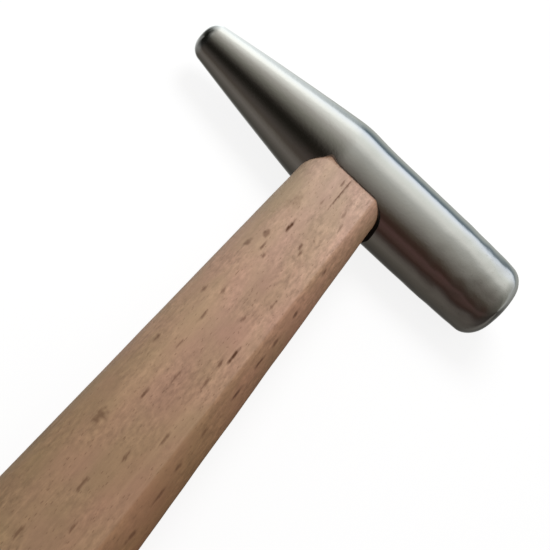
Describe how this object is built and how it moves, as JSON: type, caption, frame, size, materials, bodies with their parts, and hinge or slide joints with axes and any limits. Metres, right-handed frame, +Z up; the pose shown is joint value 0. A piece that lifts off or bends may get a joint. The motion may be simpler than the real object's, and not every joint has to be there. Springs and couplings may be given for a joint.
{
  "type": "small two-faced hammer",
  "caption": "Small bench hammer: turned steel head with a small rounded end and a larger domed end, wedged onto a shouldered beech handle.",
  "frame": {"origin": "centre of the bottom of the bounding box of the hammer lying on its side", "axes": "+X along the head towards its large face, +Y along the handle from the butt to the head, +Z up, square to the handle's broad faces"},
  "size_m": [0.0874, 0.24, 0.0201],
  "materials": {
    "head_steel": "polished with a faint satin",
    "wedge_steel": "plain cut steel, dull",
    "handle_beech": "sanded beech, matt, with dark flecks along the grain",
    "wedge_wood": "plain hardwood end grain, matt"
  },
  "bodies": {
    "root": {"head": "head_steel", "handle": "handle_beech", "wooden_wedge": "wedge_wood", "steel_wedge": "wedge_steel"}
  },
  "joints": []
}
